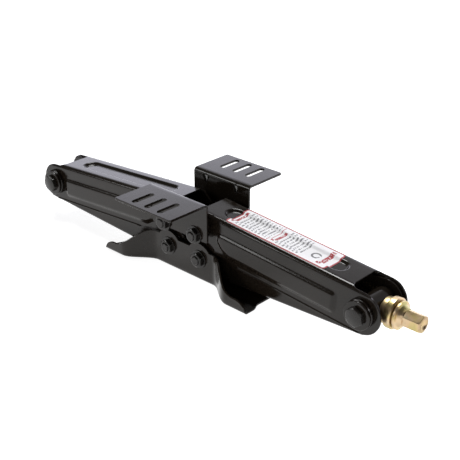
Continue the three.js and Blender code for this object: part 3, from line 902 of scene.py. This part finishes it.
def build_blocks(paint, steel):
    """At each outer joint, a round block with a pin, held by a washer, a collar and a hexagon each end."""
    for side, sign in SIDES.items():
        body = f"{side}_block"
        middle = (sign * END_X, SCREW_Z)
        reach = PIN_HEAD["start"] + 1
        shoulder = [(TRUNNION["radius"], TRUNNION["half"] - TRUNNION["ease"]),
                    (TRUNNION["radius"] - TRUNNION["ease"], TRUNNION["half"]),
                    (TRUNNION["journal"], TRUNNION["half"]), (TRUNNION["journal"], reach), (0, reach)]
        shaft = [(r, -y) for r, y in shoulder[::-1]] + shoulder
        block = turned(f"trunnion_{side}_turned", shaft, "Y", middle, paint, body, [f"trunnion_{side}"])
        bore = [(0, -24), (TRUNNION["bore"], -24), (TRUNNION["bore"], 24), (0, 24)]
        cutter = turned(f"cutter_{side}", bore, "X", (0, SCREW_Z), steel, body)
        cutter.data.transform(Matrix.Translation((sign * END_X * MM, 0, 0)))
        cut(block, cutter)
        for end, toward in ENDS.items():
            start, height = toward * PIN_HEAD["start"], toward * PIN_HEAD["height"]
            head = hex_profile(PIN_HEAD["flats"], start, start + height)
            turned(f"pin_head_{side}_{end}", head, "Y", middle, steel, body, [], 96, PIN_HEAD["flats"],
                   math.radians(PIN_TURN[side]))
            for kind, rim, radii in END_RINGS:
                low, high = cad(f"end_{kind}_{side}_{end}")
                inner, outer = (low[1], high[1]) if toward > 0 else (high[1], low[1])
                edge = [(r, inner + share * (outer - inner)) for r, share in rim]
                profile = rounded([(PIN_BORE, inner), *edge, (PIN_BORE, outer)], radii, 4)
                turned(f"pin_{kind}_{side}_{end}", profile, "Y", middle, paint, body,
                       [f"end_{kind}_{side}_{end}"], 96)


def cut(piece, cutter):
    """Takes the cutter's shape out of the piece, then removes the cutter."""
    change = piece.modifiers.new("cut", "BOOLEAN")
    change.operation, change.object, change.solver = "DIFFERENCE", cutter, "EXACT"
    bpy.context.view_layer.update()
    shaped = bpy.data.meshes.new_from_object(piece.evaluated_get(bpy.context.evaluated_depsgraph_get()))
    piece.modifiers.clear()
    piece.data = shaped
    shaped.shade_smooth()
    shaped.set_sharp_from_angle(angle=math.radians(SHARP_DEGREES))
    bpy.data.objects.remove(cutter)


def build_screw(material):
    """An acme screw with a smooth journal at the drive end."""
    low, high = cad("lead_screw")
    radius, depth, pitch = (high[2] - low[2]) / 2, SCREW["depth"], SCREW["pitch"]
    smooth = SCREW["journal_radius"]
    start, end, journal = low[0], high[0], END_X - SCREW["journal_length"]
    turns, around, steps = (journal - start - 3) / pitch, 28, 8
    angles = np.arange(around) * 2 * math.pi / around
    rows = [(0.0, start), (radius - 2.2, start)]
    for place in start + 2.0 + np.arange(0, turns * steps) * pitch / steps:
        phase = ((place / pitch - angles / (2 * math.pi)) % 1.0) * 2 - 1
        ridge = np.clip((np.abs(phase) - 0.28) / 0.22, 0, 1)
        run_out = min(1.0, (place - start) / 4, (journal - 2 - place) / 3)
        rows.append((radius - depth * ridge - depth * (1 - max(0, run_out)), place))
    rows += [(smooth - 0.6, journal), (smooth, journal + 1), (smooth, end - 1), (smooth - 0.8, end),
             (0, end)]
    points = [np.stack([np.full(around, place), r * np.cos(angles), SCREW_Z + r * np.sin(angles)], 1)
              for r, place in rows]
    faces = []
    for first in range(0, (len(rows) - 1) * around, around):
        for k in range(around):
            after = (k + 1) % around
            faces.append([first + k, first + after, first + around + after, first + around + k])
    return make_piece("lead_screw_threaded", np.concatenate(points), faces, material, "drive_line",
                      ["lead_screw"], 50)


def build_drive(material):
    """Thrust ring, bearing cup, then the collar that tapers into the drive hexagon."""
    middle, body, bore = (0, SCREW_Z), "drive_line", DRIVE["bore"]
    low, high = cad("thrust_washer")
    washer = ring(DRIVE["washer"], bore, low[0], high[0], 0.9)
    turned("thrust_washer_turned", washer, "X", middle, material, body, ["thrust_washer"])

    low, high = cad("bearing_cup")
    start, end, outer = low[0], high[0], DRIVE["cup"]
    cup = [(bore, start), (outer, start), (outer, end - 1.6), (outer - 1.6, end - 0.2), (14.5, end - 0.2),
           (13.6, end - 1.2), (bore, end - 1.2)]
    cup = rounded(cup, [0.3, 1.6, 0.5, 0.5, 0.6, 0.4, 0.3], 5)
    turned("bearing_cup_turned", cup, "X", middle, material, body, ["bearing_cup"], 96)

    low, high = cad("hex_drive")
    start, tip, outer, corner = low[0], high[0], DRIVE["collar"], DRIVE["flats"] / math.sqrt(3)
    collar = [(bore, 0), (DRIVE["groove"], 0), (DRIVE["groove"], 2.0), (outer, 2.2), (outer, 4.9),
              (14.2, 5.9), (corner + 0.2, 9.4), (corner - 0.6, 11.6)]
    collar = rounded(collar, [0.3, 0.4, 0.3, 0.4, 0.5, 2.4, 1.4, 0], 5)
    collar = np.concatenate([collar, [(0, 11.6), (0, 8.6), (bore, 8.6)]]) + [0, start]
    turned("drive_collar", collar, "X", middle, material, body, ["hex_drive"], 96)

    profile = hex_profile(DRIVE["flats"], start + 8.0, tip)
    dimple = [(7.4, tip), (6.6, tip - 1.0), (2.2, tip - 2.6), (0, tip - 3.0)]
    turned("drive_hex", [*profile[:-1], *dimple], "X", middle, material, body, [], 144, DRIVE["flats"],
           math.radians(DRIVE["turn"]))


# ---- Sticker -------------------------------------------------------------------------------

def build_label(arm, material):
    """A sticker with rounded corners that follows the top plate into its sunken middle."""
    start, end, half, corner = LABEL["start"], LABEL["end"], LABEL["half"], LABEL["corner"]
    bow = corner * (1 - np.cos(np.linspace(0, math.pi / 2, 7)))
    straight = np.linspace(start + corner, end - corner, 90)[1:-1]
    p = np.concatenate([start + bow, straight, (end - bow)[::-1]])
    from_end = np.minimum(p - start, end - p)
    into = np.clip(1 - from_end / corner, 0, 1)
    reach = half - corner * (1 - np.sqrt(1 - into ** 2))
    shares = np.linspace(-1, 1, 61)
    grid = np.array([[a, b * r] for a, r in zip(p, reach) for b in shares])
    surface, normals = folded(grid, arm.fold)
    surface = surface + normals * (LABEL["lift"] + LABEL["film"])
    faces = facing_out(surface, normals, grid_faces(len(p), len(shares)))
    points, faces = thickened(surface, normals, faces, LABEL["film"], 0.04)
    return make_piece("label_sheet", points, faces, material, "upper_right", ["label_sticker"], 60)


PRINT = dict(rim=(-2.1, 0.2),
             divider=((105.4, 106.4), (-21.0, 21.0)),
             headers=(((41.0, 45.4), (-17.5, 16.0)), ((110.5, 114.9), (-17.5, 13.0))),
             block=((184.0, 191.0), (-18.0, 19.0)),
             text=((50.0, 101.5), (119.0, 158.0)),
             text_across=(-19.0, 19.0),
             ring_at=172.5,
             ring=(4.2, 7.0))
DASH = dict(spacing=5.6, thickness=2.5, share=0.56)


class Pattern:
    """Shapes drawn in a sticker's own coordinates, each a node value of 1 inside and 0 outside."""

    def __init__(self, surface, run, across):
        self.surface, self.run, self.across = surface, run, across

    def both(self, *shapes):
        return reduce(lambda a, b: self.surface.math("MULTIPLY", a, b), shapes)

    def either(self, *shapes):
        return reduce(lambda a, b: self.surface.math("MAXIMUM", a, b), shapes)

    def band(self, value, low, high):
        above = self.surface.math("GREATER_THAN", value, low)
        return self.both(above, self.surface.math("LESS_THAN", value, high))

    def bar(self, run, across):
        """A rectangle, from its lowest and highest place along and across the sticker."""
        return self.both(self.band(self.run, *run), self.band(self.across, *across))

    def edge_distance(self):
        """Distance outside the sticker's rounded outline, so negative inside it."""
        value_of = self.surface.math
        inset = LABEL["corner"]
        middle, half_run = (LABEL["start"] + LABEL["end"]) / 2, (LABEL["end"] - LABEL["start"]) / 2
        outside = []
        for value, centre_at, half in ((self.run, middle, half_run), (self.across, 0.0, LABEL["half"])):
            away = value_of("ABSOLUTE", value_of("SUBTRACT", value, centre_at))
            outside.append(value_of("SUBTRACT", away, half - inset))
        squares = [value_of("POWER", value_of("MAXIMUM", value, 0.0), 2.0) for value in outside]
        length = value_of("SQRT", value_of("ADD", *squares))
        within = value_of("MINIMUM", value_of("MAXIMUM", *outside), 0.0)
        return value_of("SUBTRACT", value_of("ADD", length, within), inset)

    def dashes(self, low, high):
        """Rows across the sticker, broken into dashes of uneven length that spell nothing."""
        surface = self.surface
        row = surface.math("DIVIDE", surface.math("SUBTRACT", self.run, low), DASH["spacing"])
        steps = surface.node("CombineXYZ", 0, {
            0: surface.math("MULTIPLY", self.across, 0.52),
            1: surface.math("MULTIPLY", surface.math("FLOOR", row), 7.31)})
        word = surface.math("GREATER_THAN", surface.noise(1.0, 0.0, 0.5, steps), 1 - DASH["share"])
        line = surface.math("LESS_THAN", surface.math("FRACT", row), DASH["thickness"] / DASH["spacing"])
        return self.both(word, line, self.band(self.run, low, high))


def sticker(arm):
    """White film with a thin red rim, red bars, a dark ring and rows of grey dashes."""
    surface = Surface("sticker", Metallic=0.0, IOR=1.25)
    origin = np.array([GEAR_R, 0, SCREW_Z + PIVOT_UP]) * MM
    forward = (arm.forward[0], 0, arm.forward[1])
    relative = surface.node("VectorMath", 0, {0: surface.place, 1: tuple(origin)}, operation="SUBTRACT")
    metres = surface.node("VectorMath", "Value", {0: relative, 1: forward}, operation="DOT_PRODUCT")
    run = surface.math("DIVIDE", metres, MM)
    across = surface.math("DIVIDE", surface.node("SeparateXYZ", "Y", {0: surface.place}), MM)
    draw = Pattern(surface, run, across)

    rim = draw.band(draw.edge_distance(), *PRINT["rim"])
    broken = surface.math("GREATER_THAN", surface.noise(420, 1), 0.42)
    bars = draw.either(*(draw.bar(*header) for header in PRINT["headers"]), draw.bar(*PRINT["block"]))
    red = draw.either(rim, draw.bar(*PRINT["divider"]), draw.both(bars, broken))
    grey = draw.both(draw.either(*(draw.dashes(*text) for text in PRINT["text"])),
                     draw.band(across, *PRINT["text_across"]))
    from_ring = surface.math("SUBTRACT", run, PRINT["ring_at"])
    from_middle = surface.node("CombineXYZ", 0, {0: from_ring, 1: across})
    radius = surface.node("VectorMath", "Value", {0: from_middle}, operation="LENGTH")
    gaps = surface.math("GREATER_THAN", surface.noise(170, 1), 0.40)
    ring_mark = draw.both(draw.band(radius, *PRINT["ring"]), gaps)

    film = surface.ramp(surface.noise(30, 3), (0.3, (0.80, 0.795, 0.81)), (0.7, (0.86, 0.855, 0.875)))
    scuffs = surface.ramp(surface.noise(120, 6, 0.7), (0.60, 0.0), (0.78, 0.25))
    colour = surface.mix(scuffs, film, (0.55, 0.54, 0.53))
    colour = surface.mix(surface.math("MULTIPLY", grey, 0.8), colour, (0.11, 0.11, 0.125))
    colour = surface.mix(surface.math("MULTIPLY", ring_mark, 0.8), colour, (0.05, 0.05, 0.055))
    colour = surface.mix(surface.math("MULTIPLY", red, 0.92), colour, (0.36, 0.012, 0.022))
    roughness = surface.ramp(surface.noise(60, 3), (0.3, 0.42), (0.7, 0.56))
    return surface.finish(colour, roughness, surface.bump(surface.noise(260, 3), 0.12, 0.0003))


# ---- Studio --------------------------------------------------------------------------------

FLOOR_REACH = 9.0
ROOM = dict(back=(-0.35, 0.92, 0.0), strength=2.35, front=0.04, blue=0.14)
WALL_GLOW = ((0.0, 0.90), (0.30, 0.92), (0.34, 1.0), (0.4376, 0.47), (0.524, 0.386), (0.65, 0.227),
             (0.75, 0.114))
OVERHEAD = dict(degrees=24, strength=2.6, place=(-0.34, 0.29, 0.89))
SOFTBOXES = (("front_softbox", (1.1, 0.7), 17.0, (-1.46, -1.63, 1.00)),
             ("drive_side_softbox", (0.5, 0.5), 6.0, (1.28, -2.04, 0.67)))


def add_light(name, kind, place, aim, energy):
    """A light at a place, turned towards another, in metres."""
    light = bpy.data.lights.new(name, kind)
    light.energy = energy
    lamp = bpy.data.objects.new(name, light)
    lamp.location = place
    lamp.rotation_euler = (Vector(aim) - lamp.location).to_track_quat("-Z", "Y").to_euler()
    bpy.context.scene.collection.objects.link(lamp)
    return light


def build_studio():
    """A glowing white floor, an overhead light and two softboxes, in a room that is bright behind."""
    floor_mesh = bpy.data.meshes.new("floor")
    corners = box_loop(-FLOOR_REACH, FLOOR_REACH, -FLOOR_REACH, FLOOR_REACH)
    floor_mesh.from_pydata([(x, y, 0) for x, y in corners], [], [(0, 1, 2, 3)])
    floor = bpy.data.objects.new("floor", floor_mesh)
    bpy.context.scene.collection.objects.link(floor)
    surface = Surface("floor", Metallic=0.0, Emission_Color=(1, 1, 1, 1))
    across = surface.math("ADD", surface.node("SeparateXYZ", 0, {0: surface.place}), 0.5)
    surface.put(surface.shader.inputs["Emission Strength"], surface.ramp(across, (0.15, 0.72), (0.65, 1.0)))
    pale = surface.ramp(surface.noise(3, 2), (0.3, (0.52, 0.52, 0.52)), (0.7, (0.54, 0.54, 0.54)))
    floor_mesh.materials.append(surface.finish(pale, 0.7))

    world = bpy.data.worlds.new("studio")
    bpy.context.scene.world = world
    world.use_nodes = True
    room = Nodes(world.node_tree, "Generated")
    height = room.node("SeparateXYZ", "Z", {0: room.place})
    facing = {0: room.place, 1: ROOM["back"]}
    toward_back = room.node("VectorMath", "Value", facing, operation="DOT_PRODUCT")
    behind = room.ramp(toward_back, (0.30, 0.0), (0.70, 1.0), interpolation="EASE")
    glow = [(place, (grey, grey, grey * (1 + ROOM["blue"] * grey))) for place, grey in WALL_GLOW]
    shade = room.mix(behind, [ROOM["front"]] * 3, room.ramp(height, *glow))
    background = room.tree.nodes["Background"]
    room.put(background.inputs["Color"], shade)
    background.inputs["Strength"].default_value = ROOM["strength"]

    sun = add_light("overhead_light", "SUN", OVERHEAD["place"], (0, 0, 0), OVERHEAD["strength"])
    sun.angle = math.radians(OVERHEAD["degrees"])
    for name, size, power, place in SOFTBOXES:
        box = add_light(name, "AREA", place, (0.2, 0, 0.05), power)
        box.shape, box.size, box.size_y = "RECTANGLE", *size
    bpy.context.scene.view_settings.view_transform = "Standard"


CAMERA = dict(azimuth=43.16, elevation=25.95, distance=1236.4, lens=70.89, sensor=36.0, aim_x=55.3,
              aim_up=20.0)


def build_camera():
    """A long lens at the drive end's near side, a little above."""
    azimuth, elevation = math.radians(CAMERA["azimuth"]), math.radians(CAMERA["elevation"])
    aim = Vector((CAMERA["aim_x"], 0, SCREW_Z + CAMERA["aim_up"])) * MM
    back = Vector((math.sin(azimuth) * math.cos(elevation), -math.cos(azimuth) * math.cos(elevation),
                   math.sin(elevation)))
    data = bpy.data.cameras.new("camera")
    data.sensor_width, data.lens = CAMERA["sensor"], CAMERA["lens"]
    data.clip_start, data.clip_end = 0.05, 50
    camera = bpy.data.objects.new("camera", data)
    camera.location = aim + back * CAMERA["distance"] * MM
    camera.rotation_mode = "QUATERNION"
    camera.rotation_quaternion = (-back).to_track_quat("-Z", "Y")
    bpy.context.scene.collection.objects.link(camera)
    bpy.context.scene.camera = camera


# ---- Assembly ------------------------------------------------------------------------------

paint = black_paint()
steel = black_steel()
zinc = yellow_zinc()

arms = {}
for kind in ("lower", "upper"):
    for side, sign in SIDES.items():
        arms[kind, side] = Arm(kind, sign)
        arms[kind, side].build(paint, f"{kind}_{side}")
build_foot(paint)
for end, sign in ENDS.items():
    build_bracket(end, sign, paint)
build_fasteners(steel)
build_blocks(paint, steel)
build_screw(zinc)
build_drive(zinc)
build_label(arms["upper", "right"], sticker(arms["upper", "right"]))
build_studio()
build_camera()
